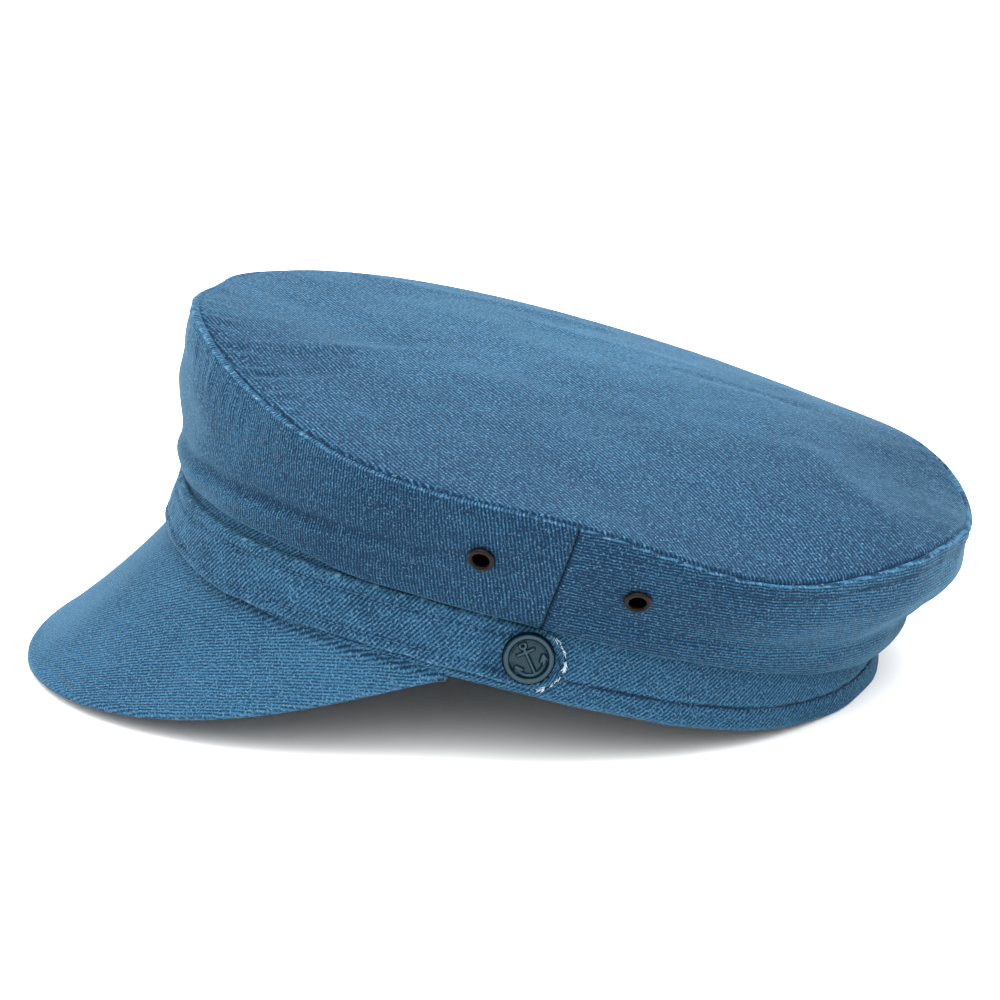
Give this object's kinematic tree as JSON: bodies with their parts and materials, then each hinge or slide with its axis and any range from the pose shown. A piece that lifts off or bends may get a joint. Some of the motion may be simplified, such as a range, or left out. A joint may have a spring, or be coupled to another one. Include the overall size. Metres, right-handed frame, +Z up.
{
  "type": "breton fisherman cap",
  "caption": "Soft denim fisherman cap with a flat crown, head band, mock chin strap, short peak, anchor buttons and vent eyelets, resting by itself.",
  "frame": {"origin": "middle of the resting cap's footprint, on the surface that it rests on", "axes": "+Z up, the peak points towards -Y, and the wearer's left side is towards +X"},
  "size_m": [0.2014, 0.2664, 0.1073],
  "materials": {
    "denim": "mid blue denim twill, matt, with pale flecks and worn seam edges",
    "button_enamel": "dark teal lacquered metal, glossy on the raised anchor",
    "eyelet_metal": "blackened metal, semi-gloss"
  },
  "bodies": {
    "root": {"crown_top": "denim", "wall_front": "denim", "wall_rear": "denim", "head_band": "denim", "strap": "denim", "peak": "denim", "button_left": "button_enamel", "button_right": "button_enamel", "eyelet_left_front": "eyelet_metal", "eyelet_left_rear": "eyelet_metal", "eyelet_right_front": "eyelet_metal", "eyelet_right_rear": "eyelet_metal"}
  },
  "joints": []
}
